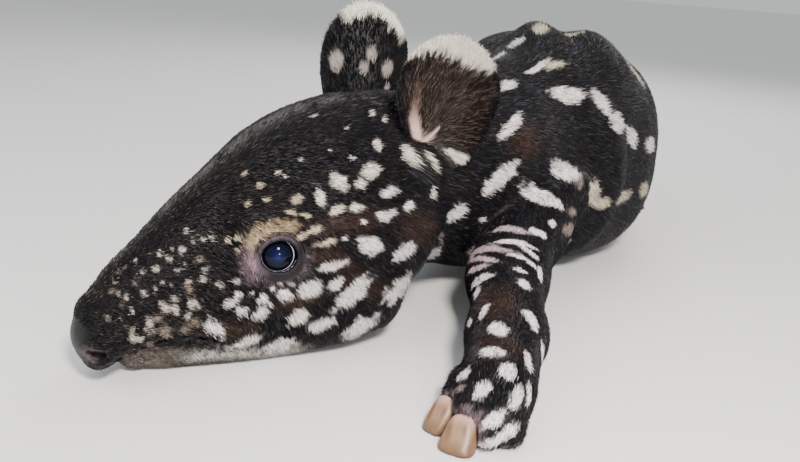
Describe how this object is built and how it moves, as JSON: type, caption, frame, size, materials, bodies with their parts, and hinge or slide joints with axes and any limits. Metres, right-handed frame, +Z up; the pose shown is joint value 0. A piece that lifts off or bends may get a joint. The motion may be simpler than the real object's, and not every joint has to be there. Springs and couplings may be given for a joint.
{
  "type": "malayan tapir",
  "caption": "Young Malayan tapir in its spotted and striped coat, lying on its belly with its chin on the floor and one foreleg stretched forward, as a still life-size figure.",
  "frame": {"origin": "middle of the floor that the figure covers, at floor level", "axes": "+Z up; the trunk runs back from the shoulders along +Y; +X is the calf's left side"},
  "size_m": [0.4426, 0.648, 0.2025],
  "materials": {
    "coat": "short dark fur with pale spots and stripes",
    "coat_pale": "short pale fur",
    "ear": "thin skin with fine hair",
    "eye": "wet and glossy",
    "hoof": "smooth pale horn"
  },
  "bodies": {
    "root": {"eye_left": "eye", "eye_right": "eye", "head": "coat", "lower_jaw": "coat_pale", "ear_left": "ear", "ear_right": "ear", "neck": "coat", "thigh_left": "coat", "thigh_right": "coat", "chest": "coat", "belly": "coat", "rump": "coat", "upper_foreleg_left": "coat", "lower_foreleg_left": "coat", "forefoot_left": "coat", "hoof_forefoot_left_1": "hoof", "hoof_forefoot_left_2": "hoof", "hoof_forefoot_left_3": "hoof", "hoof_forefoot_left_4": "hoof", "upper_foreleg_right": "coat", "lower_foreleg_right": "coat", "forefoot_right": "coat", "hoof_forefoot_right_1": "hoof", "hoof_forefoot_right_2": "hoof", "hoof_forefoot_right_3": "hoof", "hoof_forefoot_right_4": "hoof", "shank_left": "coat", "hindfoot_left": "coat", "hoof_hindfoot_left_1": "hoof", "hoof_hindfoot_left_2": "hoof", "hoof_hindfoot_left_3": "hoof", "shank_right": "coat", "hindfoot_right": "coat", "hoof_hindfoot_right_1": "hoof", "hoof_hindfoot_right_2": "hoof", "hoof_hindfoot_right_3": "hoof", "tail": "coat"}
  },
  "joints": []
}
